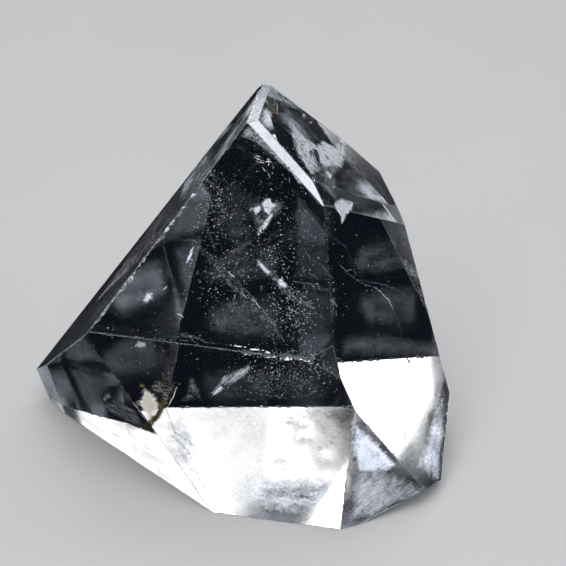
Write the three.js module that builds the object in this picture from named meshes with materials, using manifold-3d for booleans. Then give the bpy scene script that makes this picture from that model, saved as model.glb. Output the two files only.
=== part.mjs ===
// A clear quartz point, one solid piece, leaning back over a base that was cut flat so that it stands.
// Millimetres, +Z up. The origin is on the table, under the middle of the crystal's width and depth.
// The broad sloping front looks towards -Y, and the tip leans towards +Y.
import * as THREE from "three";
import { mergeVertices } from "three/addons/utils/BufferGeometryUtils.js";
import Module from "manifold-3d";

// Every flat face is given by the way it looks and by how far it lies from one point inside the stone.
// facing: degrees round +Z, counted from +X. tilt: degrees that the face looks upwards, below zero when
// it looks down. reach: millimetres from HEART to the face.
const HEART = new THREE.Vector3(-0.2, -0.6, 14);

const BASE_CUT = { facing: 0, tilt: -90, reach: 14 };
const FRONT_SLOPE = { facing: -99, tilt: 38.5, reach: 12.15 };
const LOW_FRONT = { facing: -99.5, tilt: 12, reach: 10.75 };
const LOWER_LEFT = { facing: -129, tilt: -8, reach: 14.05 };
const LOWER_RIGHT = { facing: -72.5, tilt: 9.5, reach: 16.5 };
const RIGHT_SLOPE = { facing: -33, tilt: 27.5, reach: 17.15 };
const UPPER_RIGHT = { facing: 2, tilt: 50.5, reach: 22.55 };
const LEFT_SLOPE = { facing: 165.5, tilt: 36, reach: 15.4 };

// Faces on the far side. Their upper edges are the crystal's outline.
const BACK = { facing: 94, tilt: -9, reach: 13.23 };
const BACK_UPPER_RIGHT = { facing: 71.5, tilt: 1, reach: 18.35 };
const BACK_LEFT = { facing: 109.1, tilt: -5.1, reach: 13.7 };
const BACK_RIGHT = { facing: 17, tilt: 9.5, reach: 22.3 };
const RIGHT_FOOT = { facing: -8, tilt: -2, reach: 25.65 };

// Small facets that trim ridges and corners.
const GROUND_STRIP = { facing: -56, tilt: 57, reach: 20.45 };
const TIP_FACET = { facing: 124, tilt: 79, reach: 26.8 };
const CREST_BAND = { facing: 58.5, tilt: 29, reach: 25.7 };
const HAZY_BAND = { facing: -11.5, tilt: 45, reach: 21.4 };
const FRONT_CORNER = { facing: -90.5, tilt: 27.5, reach: 13.1 };
const LEFT_CORNER = { facing: -140, tilt: -8, reach: 17.25 };
const BROKEN_FOOT = { facing: -56, tilt: -35, reach: 25.05 };

const FACES = [
  BASE_CUT,
  FRONT_SLOPE,
  LOW_FRONT,
  LOWER_LEFT,
  LOWER_RIGHT,
  RIGHT_SLOPE,
  UPPER_RIGHT,
  LEFT_SLOPE,
  BACK,
  BACK_UPPER_RIGHT,
  BACK_LEFT,
  BACK_RIGHT,
  RIGHT_FOOT,
  GROUND_STRIP,
  TIP_FACET,
  CREST_BAND,
  HAZY_BAND,
  FRONT_CORNER,
  LEFT_CORNER,
  BROKEN_FOOT,
];

// Chips along the ridges: how many, how long (millimetres along the ridge) and how deep they bite.
// from and to are the stretch of the ridge that is chipped, as fractions of its length.
const CHIPPED_RIDGES = [
  { ridge: [FRONT_SLOPE, LEFT_SLOPE], from: 0.02, to: 0.72, count: 34, length: 1.3, bite: 0.26 },
  { ridge: [FRONT_SLOPE, LEFT_SLOPE], from: 0.72, to: 1.0, count: 6, length: 0.8, bite: 0.12 },
  { ridge: [FRONT_SLOPE, LOW_FRONT], from: 0.0, to: 0.45, count: 13, length: 1.2, bite: 0.2 },
  { ridge: [FRONT_SLOPE, LOW_FRONT], from: 0.45, to: 1.0, count: 7, length: 0.9, bite: 0.11 },
  { ridge: [FRONT_SLOPE, RIGHT_SLOPE], from: 0.05, to: 0.95, count: 5, length: 0.8, bite: 0.1 },
  { ridge: [LOWER_LEFT, LEFT_SLOPE], from: 0.0, to: 1.0, count: 9, length: 0.9, bite: 0.16 },
  { ridge: [LOWER_RIGHT, RIGHT_SLOPE], from: 0.1, to: 0.9, count: 6, length: 0.8, bite: 0.13 },
  { ridge: [LOW_FRONT, LOWER_RIGHT], from: 0.1, to: 0.9, count: 4, length: 0.7, bite: 0.09 },
  { ridge: [GROUND_STRIP, FRONT_SLOPE], from: 0.02, to: 0.98, count: 7, length: 0.6, bite: 0.09 },
  { ridge: [GROUND_STRIP, UPPER_RIGHT], from: 0.02, to: 0.98, count: 5, length: 0.6, bite: 0.08 },
  { ridge: [RIGHT_SLOPE, RIGHT_FOOT], from: 0.1, to: 0.9, count: 4, length: 1.2, bite: 0.22 },
  { ridge: [BASE_CUT, LOW_FRONT], from: 0.03, to: 0.97, count: 7, length: 1.0, bite: 0.16 },
  { ridge: [BASE_CUT, LOWER_LEFT], from: 0.03, to: 0.97, count: 8, length: 1.0, bite: 0.17 },
  { ridge: [BASE_CUT, BROKEN_FOOT], from: 0.05, to: 0.95, count: 5, length: 1.4, bite: 0.25 },
  { ridge: [BASE_CUT, BACK], from: 0.03, to: 0.97, count: 9, length: 1.2, bite: 0.2 },
  { ridge: [BASE_CUT, BACK_LEFT], from: 0.05, to: 0.95, count: 5, length: 1.1, bite: 0.2 },
  { ridge: [BASE_CUT, BACK_RIGHT], from: 0.05, to: 0.95, count: 4, length: 1.1, bite: 0.2 },
  { ridge: [LEFT_SLOPE, BACK], from: 0.02, to: 0.98, count: 8, length: 1.1, bite: 0.15 },
  { ridge: [LEFT_SLOPE, BACK_LEFT], from: 0.02, to: 0.98, count: 8, length: 1.2, bite: 0.18 },
  { ridge: [BACK, BACK_LEFT], from: 0.05, to: 0.95, count: 8, length: 1.3, bite: 0.2 },
  { ridge: [BACK_RIGHT, RIGHT_SLOPE], from: 0.05, to: 0.95, count: 5, length: 0.9, bite: 0.1 },
  { ridge: [BACK_UPPER_RIGHT, BACK_RIGHT], from: 0.05, to: 0.95, count: 6, length: 1.1, bite: 0.16 },
];

// Two broken places larger than the edge wear: the dark nick low on the right-hand outline, and the bite
// out of the left face's lower edge, where the brown stain starts.
const RIGHT_NICK = { ridge: [RIGHT_SLOPE, RIGHT_FOOT], at: 0.55, length: 1.5, bite: 0.5 };
const STAINED_BITE = { ridge: [LOW_FRONT, LOWER_LEFT], at: 0.47, length: 1.7, bite: 0.42 };

// Growth ledges: shallow steps left where layers stopped, straight and level with one another.
// along: the face they are parallel to where they meet the stepped face. offsets are uneven on purpose.
const LEDGE_WIDTH = 0.5;
const LEDGE_DEPTH = 0.09;
const LEDGE_HALF_LENGTH = 14;
const LEDGE_SLIDE = 8;
const CUTTER_OVERHANG = 0.3;
const LEFT_SLOPE_LEDGES = { face: LEFT_SLOPE, along: FRONT_SLOPE, offsets: [0.9, 1.6, 2.6, 3.2, 4.3, 5.4, 7.0] };
const BACK_LEDGES = { face: BACK, along: BASE_CUT, offsets: [5.2, 6.1, 9.4, 13.8, 14.6, 19.5, 25.3, 26.4, 31.0] };
const BACK_RIGHT_LEDGES = { face: BACK_RIGHT, along: BASE_CUT, offsets: [4.1, 7.7, 8.5, 12.9, 17.6] };
const BACK_LEFT_LEDGES = { face: BACK_LEFT, along: BASE_CUT, offsets: [3.6, 6.9, 7.6, 12.2, 18.0, 22.5] };

// Etch pits: three-sided dents. size is their width; depth how far they go in.
const PITS = [
  { face: TIP_FACET, count: 9, size: 0.45, depth: 0.12 },
  { face: LEFT_SLOPE, count: 8, size: 0.6, depth: 0.09 },
  { face: BACK, count: 16, size: 1.0, depth: 0.12 },
  { face: BACK_LEFT, count: 7, size: 0.9, depth: 0.12 },
  { face: BACK_RIGHT, count: 5, size: 0.8, depth: 0.1 },
  { face: BACK_UPPER_RIGHT, count: 6, size: 0.9, depth: 0.12 },
];

const wasm = await Module();
wasm.setup();

// Repeatable scatter: the same numbers every time, between 0 and 1.
let scatterState = 20261;
function scatter() {
  scatterState = (scatterState * 16807) % 2147483647;
  return scatterState / 2147483647;
}

function between(low, high) {
  return low + (high - low) * scatter();
}

function outward(face) {
  const facing = THREE.MathUtils.degToRad(face.facing);
  const tilt = THREE.MathUtils.degToRad(face.tilt);
  const level = Math.cos(tilt);
  return new THREE.Vector3(level * Math.cos(facing), level * Math.sin(facing), Math.sin(tilt));
}

function planeOf(face) {
  const normal = outward(face);
  return { normal, distance: normal.dot(HEART) + face.reach };
}

// The one point that three planes share, or null when they nearly share a line.
function meeting(a, b, c) {
  const bc = new THREE.Vector3().crossVectors(b.normal, c.normal);
  const size = a.normal.dot(bc);
  if (Math.abs(size) < 1e-6) return null;
  const ca = new THREE.Vector3().crossVectors(c.normal, a.normal);
  const ab = new THREE.Vector3().crossVectors(a.normal, b.normal);
  return bc
    .multiplyScalar(a.distance)
    .addScaledVector(ca, b.distance)
    .addScaledVector(ab, c.distance)
    .divideScalar(size);
}

function inside(point, planes, slack) {
  return planes.every((plane) => plane.normal.dot(point) <= plane.distance + slack);
}

// Corners of the stone that bounds a set of planes, and for each plane the corners on it in turn.
function stoneFrom(planes) {
  const corners = [];
  const rings = planes.map(() => []);
  for (let i = 0; i < planes.length; i++) {
    for (let j = i + 1; j < planes.length; j++) {
      for (let k = j + 1; k < planes.length; k++) {
        const point = meeting(planes[i], planes[j], planes[k]);
        if (!point || !inside(point, planes, 1e-7)) continue;
        const index = corners.push(point) - 1;
        [i, j, k].forEach((plane) => rings[plane].push(index));
      }
    }
  }
  rings.forEach((ring, p) => {
    const middle = new THREE.Vector3();
    ring.forEach((index) => middle.addScaledVector(corners[index], 1 / ring.length));
    const right = new THREE.Vector3(0.31, 0.47, 0.83).cross(planes[p].normal).normalize();
    const up = new THREE.Vector3().crossVectors(planes[p].normal, right);
    const turn = (index) => {
      const arm = corners[index].clone().sub(middle);
      return Math.atan2(arm.dot(up), arm.dot(right));
    };
    ring.sort((a, b) => turn(a) - turn(b));
  });
  return { corners, rings };
}

function solidFrom(corners, triangles) {
  const vertProperties = new Float32Array(corners.flatMap((point) => [point.x, point.y, point.z]));
  const triVerts = new Uint32Array(triangles);
  return new wasm.Manifold(new wasm.Mesh({ numProp: 3, vertProperties, triVerts }));
}

function solidFromPlanes(planes) {
  const { corners, rings } = stoneFrom(planes);
  const triangles = [];
  for (const ring of rings) {
    for (let i = 1; i + 1 < ring.length; i++) triangles.push(ring[0], ring[i], ring[i + 1]);
  }
  return solidFrom(corners, triangles);
}

const planes = FACES.map(planeOf);
const stone = stoneFrom(planes);

// The two ends of the ridge where two faces meet.
function ridgeEnds([first, second]) {
  const one = stone.rings[FACES.indexOf(first)];
  const other = new Set(stone.rings[FACES.indexOf(second)]);
  return one.filter((index) => other.has(index)).map((index) => stone.corners[index]);
}

// A rounded, slightly uneven scoop, the shape that a shell-like break leaves.
function scoop(centre, axes, sizes, unevenness) {
  const ball = new THREE.IcosahedronGeometry(1, 1);
  ball.deleteAttribute("normal");
  ball.deleteAttribute("uv");
  const merged = mergeVertices(ball, 1e-4);
  const position = merged.getAttribute("position");
  const corners = [];
  for (let i = 0; i < position.count; i++) {
    const swell = 1 + between(-unevenness, unevenness);
    corners.push(
      centre
        .clone()
        .addScaledVector(axes[0], position.getX(i) * sizes[0] * swell)
        .addScaledVector(axes[1], position.getY(i) * sizes[1] * swell)
        .addScaledVector(axes[2], position.getZ(i) * sizes[2] * swell),
    );
  }
  return solidFrom(corners, merged.index.array);
}

// How far a chip may turn towards one of the two faces beside its ridge.
const CHIP_LEAN = 0.45;
const CHIP_UNEVENNESS = 0.09;

// Bites a chip out of a ridge. The scoop's centre sits outside, so that only its far side cuts.
function chipTool(ridge, at, length, bite) {
  const [start, end] = ridgeEnds(ridge);
  const along = end.clone().sub(start).normalize();
  const out = outward(ridge[0]).add(outward(ridge[1])).normalize();
  out.addScaledVector(along, -out.dot(along)).normalize();
  const across = new THREE.Vector3().crossVectors(out, along);
  const lean = between(-CHIP_LEAN, CHIP_LEAN);
  const inwards = out.clone().addScaledVector(across, lean).normalize();
  const side = new THREE.Vector3().crossVectors(inwards, along).normalize();
  const height = bite * between(2.2, 3.4);
  const centre = start
    .clone()
    .lerp(end, at)
    .addScaledVector(inwards, height - bite);
  const sizes = [length / 2, length * between(0.32, 0.5), height];
  return scoop(centre, [along, side, inwards], sizes, CHIP_UNEVENNESS);
}

function ridgeChips({ ridge, from, to, count, length, bite }) {
  const tools = [];
  for (let i = 0; i < count; i++) {
    const at = from + ((to - from) * (i + between(0.1, 0.9))) / count;
    const scale = between(0.45, 1.35);
    tools.push(chipTool(ridge, at, length * scale, bite * scale * between(0.7, 1.1)));
  }
  return tools;
}

// One growth ledge: a long wedge lifted out of a face, deepest along one side and running out to nothing.
function ledgeTool(face, along, offset) {
  const plane = planeOf(face);
  const guide = planeOf(along);
  const run = new THREE.Vector3().crossVectors(plane.normal, guide.normal).normalize();
  const away = new THREE.Vector3().crossVectors(plane.normal, run).normalize();
  if (away.dot(guide.normal) > 0) away.negate();
  const edge = meeting(plane, guide, { normal: run, distance: run.dot(HEART) });
  const nearSide = away.dot(edge) + offset;
  const floor = plane.normal
    .clone()
    .multiplyScalar(LEDGE_WIDTH)
    .addScaledVector(away, -LEDGE_DEPTH)
    .normalize();
  const deepest = edge.clone().addScaledVector(away, offset).addScaledVector(plane.normal, -LEDGE_DEPTH);
  const reach = LEDGE_HALF_LENGTH * between(0.5, 1.3);
  const middle = run.dot(HEART) + between(-LEDGE_SLIDE, LEDGE_SLIDE);
  return solidFromPlanes([
    { normal: away.clone().negate(), distance: -nearSide },
    { normal: away.clone(), distance: nearSide + LEDGE_WIDTH * 1.5 },
    { normal: plane.normal.clone(), distance: plane.distance + CUTTER_OVERHANG },
    { normal: floor.clone().negate(), distance: -floor.dot(deepest) },
    { normal: run.clone(), distance: middle + reach },
    { normal: run.clone().negate(), distance: reach - middle },
  ]);
}

function ledges({ face, along, offsets }) {
  return offsets.map((offset) => ledgeTool(face, along, offset));
}

// A three-sided dent, point inwards, all dents of one face turned the same way as crystal growth turns them.
function pitTool(face, size, depth) {
  const index = FACES.indexOf(face);
  const ring = stone.rings[index].map((corner) => stone.corners[corner]);
  const pick = 1 + Math.floor(scatter() * (ring.length - 2));
  const u = Math.sqrt(scatter());
  const v = scatter();
  const centre = new THREE.Vector3()
    .addScaledVector(ring[0], 1 - u)
    .addScaledVector(ring[pick], u * (1 - v))
    .addScaledVector(ring[pick + 1], u * v);
  const normal = outward(face);
  const right = new THREE.Vector3(0, 0, 1).cross(normal).normalize();
  const up = new THREE.Vector3().crossVectors(normal, right);
  const scale = between(0.45, 1.25);
  const corners = [90, 210, 330].map((degrees) => {
    const angle = THREE.MathUtils.degToRad(degrees);
    return centre
      .clone()
      .addScaledVector(right, Math.cos(angle) * size * scale)
      .addScaledVector(up, Math.sin(angle) * size * scale)
      .addScaledVector(normal, depth);
  });
  corners.push(centre.clone().addScaledVector(normal, -depth * scale));
  return solidFrom(corners, [0, 1, 2, 0, 3, 1, 1, 3, 2, 2, 3, 0]);
}

const tools = [
  ...CHIPPED_RIDGES.flatMap(ridgeChips),
  chipTool(RIGHT_NICK.ridge, RIGHT_NICK.at, RIGHT_NICK.length, RIGHT_NICK.bite),
  chipTool(STAINED_BITE.ridge, STAINED_BITE.at, STAINED_BITE.length, STAINED_BITE.bite),
  ...[LEFT_SLOPE_LEDGES, BACK_LEDGES, BACK_RIGHT_LEDGES, BACK_LEFT_LEDGES].flatMap(ledges),
  ...PITS.flatMap(({ face, count, size, depth }) =>
    Array.from({ length: count }, () => pitTool(face, size, depth)),
  ),
];

let crystal = solidFromPlanes(planes);
for (const tool of tools) crystal = crystal.subtract(tool);

const cut = crystal.getMesh();
const geometry = new THREE.BufferGeometry();
geometry.setAttribute("position", new THREE.BufferAttribute(new Float32Array(cut.vertProperties), 3));
geometry.setIndex(new THREE.BufferAttribute(new Uint32Array(cut.triVerts), 1));
geometry.computeVertexNormals();

const clearQuartz = new THREE.MeshStandardMaterial({ color: 0xdfe6ea, roughness: 0.06, metalness: 0 });
const crystalMesh = new THREE.Mesh(geometry, clearQuartz);
crystalMesh.name = "crystal";

const part = new THREE.Group();
part.add(crystalMesh);

export default part;
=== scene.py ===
"""A clear quartz point on its cut base, with what is inside it, on a pale studio floor.

The stone is one closed solid, cut from a block by the planes of its natural faces, with worn and chipped
ridges. Healed cracks, flakes, specks and a rust stain lie inside it, so they are seen through its faces as
in a real stone. Lengths in this script are millimetres, and a finished piece is brought to metres.
"""
import logging
import math
from dataclasses import dataclass, field
from enum import Enum
from random import Random

import bmesh
import bpy
from mathutils import Matrix, Vector, noise


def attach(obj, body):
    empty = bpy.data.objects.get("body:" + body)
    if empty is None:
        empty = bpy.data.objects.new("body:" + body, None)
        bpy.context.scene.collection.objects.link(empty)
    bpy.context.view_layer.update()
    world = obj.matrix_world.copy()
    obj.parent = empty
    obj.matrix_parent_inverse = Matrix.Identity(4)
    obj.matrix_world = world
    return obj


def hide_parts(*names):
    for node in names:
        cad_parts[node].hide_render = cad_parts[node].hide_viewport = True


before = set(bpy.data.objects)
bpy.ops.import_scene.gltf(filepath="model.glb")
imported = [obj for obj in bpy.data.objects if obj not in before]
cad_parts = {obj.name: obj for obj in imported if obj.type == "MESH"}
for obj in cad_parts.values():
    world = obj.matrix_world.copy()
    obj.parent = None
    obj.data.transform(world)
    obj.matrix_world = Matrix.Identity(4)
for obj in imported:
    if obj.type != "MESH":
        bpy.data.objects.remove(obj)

log = logging.getLogger("quartz")

MM = 0.001
BODY = "root"
NODE = "crystal"

# Quartz bends light by this much.
QUARTZ_IOR = 1.544

# A point inside the stone, from which its faces are measured.
HEART = Vector((-0.2, -0.6, 14.0))


@dataclass(frozen=True)
class Facet:
    """One flat face of the stone.

    facing is in degrees round +Z from +X, tilt is how far the face looks upwards, and reach is its
    distance from HEART.
    """

    facing: float
    tilt: float
    reach: float

    @property
    def outward(self) -> Vector:
        """The unit vector that points out of the face."""
        facing, tilt = math.radians(self.facing), math.radians(self.tilt)
        level = math.cos(tilt)
        return Vector((level * math.cos(facing), level * math.sin(facing), math.sin(tilt)))

    @property
    def point(self) -> Vector:
        """A point on the face's plane."""
        return HEART + self.outward * self.reach

    def above(self, place: Vector) -> float:
        """How far a place lies outside the face's plane."""
        return (place - self.point).dot(self.outward)


class Side(Enum):
    """The stone's faces, by name."""

    BASE_CUT = Facet(0, -90, 14)
    FRONT_SLOPE = Facet(-99, 38.5, 12.15)
    LOW_FRONT = Facet(-99.5, 12, 10.75)
    LOWER_LEFT = Facet(-129, -8, 14.05)
    LOWER_RIGHT = Facet(-72.5, 9.5, 16.5)
    RIGHT_SLOPE = Facet(-33, 27.5, 17.15)
    UPPER_RIGHT = Facet(2, 50.5, 22.55)
    LEFT_SLOPE = Facet(165.5, 36, 15.4)
    BACK = Facet(94, -9, 13.23)
    BACK_UPPER_RIGHT = Facet(71.5, 1, 18.35)
    BACK_LEFT = Facet(109.1, -5.1, 13.7)
    BACK_RIGHT = Facet(17, 9.5, 22.3)
    RIGHT_FOOT = Facet(-8, -2, 25.65)
    GROUND_STRIP = Facet(-56, 57, 20.45)
    TIP_FACET = Facet(124, 79, 26.8)
    CREST_BAND = Facet(58.5, 29, 25.7)
    HAZY_BAND = Facet(-11.5, 45, 21.4)
    FRONT_CORNER = Facet(-90.5, 27.5, 13.1)
    LEFT_CORNER = Facet(-140, -8, 17.25)
    BROKEN_FOOT = Facet(-56, -35, 25.05)


def within_stone(place: Vector, margin: float) -> bool:
    """True if a place is inside the stone and at least margin from every face."""
    return all(side.value.above(place) < -margin for side in Side)


@dataclass(frozen=True)
class Viewpoint:
    """Where the photograph was taken from, and how a pixel of it looks into the stone."""

    place: Vector = field(default_factory=lambda: Vector((5.4, -101.3, 107.6)))
    elevation: float = 40.0
    focal_pixels: float = 1176.0
    frame_pixels: float = 566.0
    sensor: float = 36.0

    @property
    def lens(self) -> float:
        """The lens's focal length, for the sensor."""
        return self.focal_pixels / self.frame_pixels * self.sensor

    def towards(self, across: float, down: float) -> Vector:
        """The direction in which one pixel looks.

        Args:
            across: the pixel's place from the left edge.
            down: the pixel's place from the top edge.

        Returns:
            A unit vector from the camera.
        """
        turn = math.radians(self.elevation)
        ahead = Vector((0, math.cos(turn), -math.sin(turn)))
        upward = Vector((0, math.sin(turn), math.cos(turn)))
        middle = self.frame_pixels / 2
        slide = Vector((1, 0, 0)) * (across - middle) - upward * (down - middle)
        return (ahead + slide / self.focal_pixels).normalized()

    def inside(self, across: float, down: float, depth: float) -> Vector:
        """The place inside the stone that a pixel shows, as light is bent at the face it enters.

        Args:
            across: the pixel's place from the left edge.
            down: the pixel's place from the top edge.
            depth: how far along the bent sight line the place is.

        Returns:
            The place, in millimetres.
        """
        ray = self.towards(across, down)
        entries = []
        for side in Side:
            facing = ray.dot(side.value.outward)
            if facing < 0:
                entries.append((-side.value.above(self.place) / facing, side.value.outward))
        length, outward = max(entries, key=lambda entry: entry[0])
        eta = 1 / QUARTZ_IOR
        cosine = -ray.dot(outward)
        bent = eta * ray + (eta * cosine - math.sqrt(1 - eta * eta * (1 - cosine * cosine))) * outward
        return self.place + ray * length + bent * depth


VIEW = Viewpoint()


class Channel:
    """One output of a shader node, which can be used in sums with numbers and other channels."""

    def __init__(self, shader: "Shader", socket: bpy.types.NodeSocket) -> None:
        """Holds a socket and the shader that it belongs to."""
        self.shader = shader
        self.socket = socket

    def _sum(self, operation: str, first: "Value", second: "Value") -> "Channel":
        """One Math node on two values."""
        return self.shader.node("ShaderNodeMath", {"operation": operation}, {0: first, 1: second})

    def __add__(self, other: "Value") -> "Channel":
        """This plus other."""
        return self._sum("ADD", self, other)

    def __radd__(self, other: "Value") -> "Channel":
        """Other plus this."""
        return self._sum("ADD", other, self)

    def __sub__(self, other: "Value") -> "Channel":
        """This less other."""
        return self._sum("SUBTRACT", self, other)

    def __rsub__(self, other: "Value") -> "Channel":
        """Other less this."""
        return self._sum("SUBTRACT", other, self)

    def __mul__(self, other: "Value") -> "Channel":
        """This times other."""
        return self._sum("MULTIPLY", self, other)

    def __rmul__(self, other: "Value") -> "Channel":
        """Other times this."""
        return self._sum("MULTIPLY", other, self)

    def at_most(self, other: "Value") -> "Channel":
        """The smaller of this and other."""
        return self._sum("MINIMUM", self, other)

    def at_least(self, other: "Value") -> "Channel":
        """The larger of this and other."""
        return self._sum("MAXIMUM", self, other)


Value = float | tuple | Channel


class Shader:
    """A material that is being put together, node by node."""

    def __init__(self, name: str) -> None:
        """Starts an empty material."""
        self.material = bpy.data.materials.new(name)
        self.material.use_nodes = True
        self.tree = self.material.node_tree
        self.tree.nodes.clear()
        self.output = self.tree.nodes.new("ShaderNodeOutputMaterial")

    def node(self, kind: str, settings: dict, inputs: dict, output: int | str = 0) -> Channel:
        """Adds one node.

        Args:
            kind: the node's type.
            settings: its properties by name; stops gives a ramp's stops as (place, colour).
            inputs: a value or a channel for each socket, by the socket's name or number.
            output: which of its outputs is wanted.

        Returns:
            That output.
        """
        made = self.tree.nodes.new(kind)
        for name, setting in settings.items():
            if name == "stops":
                self._set_stops(made.color_ramp, setting)
            else:
                setattr(made, name, setting)
        for name, value in inputs.items():
            if isinstance(value, Channel):
                self.tree.links.new(value.socket, made.inputs[name])
            else:
                made.inputs[name].default_value = value
        return Channel(self, made.outputs[output])

    @staticmethod
    def _set_stops(ramp: bpy.types.ColorRamp, stops: list) -> None:
        """Gives a colour ramp its stops."""
        while len(ramp.elements) > 1:
            ramp.elements.remove(ramp.elements[-1])
        for index, (place, colour) in enumerate(stops):
            element = ramp.elements[0] if index == 0 else ramp.elements.new(place)
            element.position = place
            element.color = (*colour, 1)

    def millimetres(self, stretch: Vector = Vector((1, 1, 1)), turn: Vector = Vector((0, 0, 0))) -> Channel:
        """The place on the piece, in millimetres, turned and then stretched.

        Args:
            stretch: how far the pattern is drawn out along each axis.
            turn: the angles round the axes, in degrees.

        Returns:
            A vector channel.
        """
        place = self.node("ShaderNodeTexCoord", {}, {}, "Object")
        angles = tuple(math.radians(angle) for angle in turn)
        turned = self.node("ShaderNodeMapping", {}, {"Vector": place, "Rotation": angles})
        scale = tuple(1 / (MM * part) for part in stretch)
        return self.node("ShaderNodeMapping", {}, {"Vector": turned, "Scale": scale})

    def attribute(self, name: str) -> Channel:
        """A number that the mesh carries."""
        return self.node("ShaderNodeAttribute", {"attribute_name": name}, {}, "Fac")

    def cloud(self, place: Channel, per_mm: float, detail: float, rough: float, seed: float) -> Channel:
        """Soft noise, about per_mm lumps in each millimetre.

        Args:
            place: where it is read.
            per_mm: how many lumps a millimetre holds.
            detail: how many finer layers it has.
            rough: how strong the finer layers are.
            seed: another seed gives another pattern.

        Returns:
            A channel between 0 and 1.
        """
        inputs = {"Vector": place, "W": seed, "Scale": per_mm, "Detail": detail, "Roughness": rough}
        return self.node("ShaderNodeTexNoise", {"noise_dimensions": "4D"}, inputs, 0)

    def step(self, value: Value, low: float, high: float, start: float = 0, end: float = 1) -> Channel:
        """A smooth rise from start to end while value goes from low to high."""
        settings = {"interpolation_type": "SMOOTHSTEP"}
        inputs = {"Value": value, "From Min": low, "From Max": high, "To Min": start, "To Max": end}
        return self.node("ShaderNodeMapRange", settings, inputs)

    def blend_colours(self, share: Value, first: Value, second: Value) -> Channel:
        """A colour between two, by share."""
        inputs = {0: share, 6: first, 7: second}
        return self.node("ShaderNodeMix", {"data_type": "RGBA", "clamp_factor": True}, inputs, 2)

    def bump(self, height: Channel, depth: float) -> Channel:
        """A normal for a surface that is depth millimetres higher where height is 1."""
        return self.node("ShaderNodeBump", {}, {"Height": height, "Distance": depth * MM, "Strength": 1.0})

    def surface(self, shader: Channel) -> bpy.types.Material:
        """Ends the material with its surface."""
        self.tree.links.new(shader.socket, self.output.inputs["Surface"])
        return self.material

    def volume(self, shader: Channel) -> None:
        """Gives the material an inside."""
        self.tree.links.new(shader.socket, self.output.inputs["Volume"])


WHITE = (1, 1, 1, 1)


@dataclass(frozen=True)
class ClearQuartz:
    """The stone itself: clear inside, bright on its natural faces, frosted where it is ground or worn."""

    tint: tuple = (0.80, 0.86, 0.92, 1)
    tint_per_metre: float = 3.0
    ground_white: tuple = (0.84, 0.88, 0.95, 1)
    ground_shadow: tuple = (0.42, 0.47, 0.56, 1)
    clear_roughness: float = 0.012
    ground_roughness: float = 0.35
    base_polished: float = 0.01
    base_sawn: float = 0.07

    def material(self) -> bpy.types.Material:
        """Builds the material.

        Returns:
            A material that reads the mesh's frost and streak numbers.
        """
        s = Shader("clear_quartz")
        place = s.millimetres()
        broad = s.cloud(place, 0.16, 5, 0.6, 3.1)
        fine = s.cloud(place, 1.9, 4, 0.6, 8.2)
        grain = s.cloud(place, 9.0, 3, 0.7, 1.4)
        frost = s.attribute("frost")
        cut = s.attribute("cut")
        haze = s.attribute("haze")
        streaks = self._streaks(s)
        worn = s.step(fine * 0.35 + grain * 0.65, 0.38, 0.60, 0.35, 1.5)
        film = frost * (worn * (1 - frost) + frost)
        veil = s.attribute("streak") * streaks
        sawn = cut * s.step(broad * 0.6 + fine * 0.4, 0.40, 0.62, self.base_polished, self.base_sawn)
        ground = (film + veil + sawn).at_most(1.0).at_least(0.0)

        mottle = s.step(broad * 0.75 + fine * 0.25, 0.44, 0.66)
        pits = s.step(grain, 0.40, 0.56, 0.45, 0.0)
        colour = s.blend_colours((mottle * 0.6 + pits).at_most(1.0), self.ground_white, self.ground_shadow)

        waves = s.cloud(place, 0.12, 2, 0.4, 5.5)
        grooves = streaks * s.attribute("streak")
        normal = s.bump(waves * 0.6 + grain * ground * 0.05 + grooves * 0.5, 0.035)
        smoke = s.cloud(place, 0.30, 2.5, 0.5, 12.6)
        blotch = s.step(smoke * 0.85 + fine * 0.15, 0.38, 0.68, 0.0, 0.08)
        smear = cut * (0.070 + blotch) + haze * s.step(fine * 0.5 + broad * 0.5, 0.3, 0.7, 0.7, 1.2)
        roughness = self.clear_roughness + ground * self.ground_roughness + smear
        glass = s.node(
            "ShaderNodeBsdfPrincipled",
            {},
            {
                "Base Color": WHITE,
                "Transmission Weight": 1.0,
                "IOR": QUARTZ_IOR,
                "Roughness": roughness,
                "Normal": normal,
            },
        )
        frosted = s.node(
            "ShaderNodeBsdfPrincipled",
            {},
            {"Base Color": colour, "Roughness": 0.6, "IOR": QUARTZ_IOR, "Normal": normal},
        )
        inside = s.node(
            "ShaderNodeVolumeAbsorption", {}, {"Color": self.tint, "Density": self.tint_per_metre}
        )
        s.volume(inside)
        return s.surface(s.node("ShaderNodeMixShader", {}, {0: ground, 1: glass, 2: frosted}))

    @staticmethod
    def _streaks(s: Shader) -> Channel:
        """Fine parallel lines, drawn out along the ridge between the front and the left slope."""
        run = Side.FRONT_SLOPE.value.outward.cross(Side.LEFT_SLOPE.value.outward)
        turn = run.to_track_quat("X", "Z").inverted().to_euler()
        angles = Vector(math.degrees(angle) for angle in turn)
        lines = s.cloud(s.millimetres(Vector((9.0, 0.35, 0.35)), angles), 1.0, 4, 0.65, 2.0)
        return s.step(lines, 0.50, 0.68)


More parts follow.
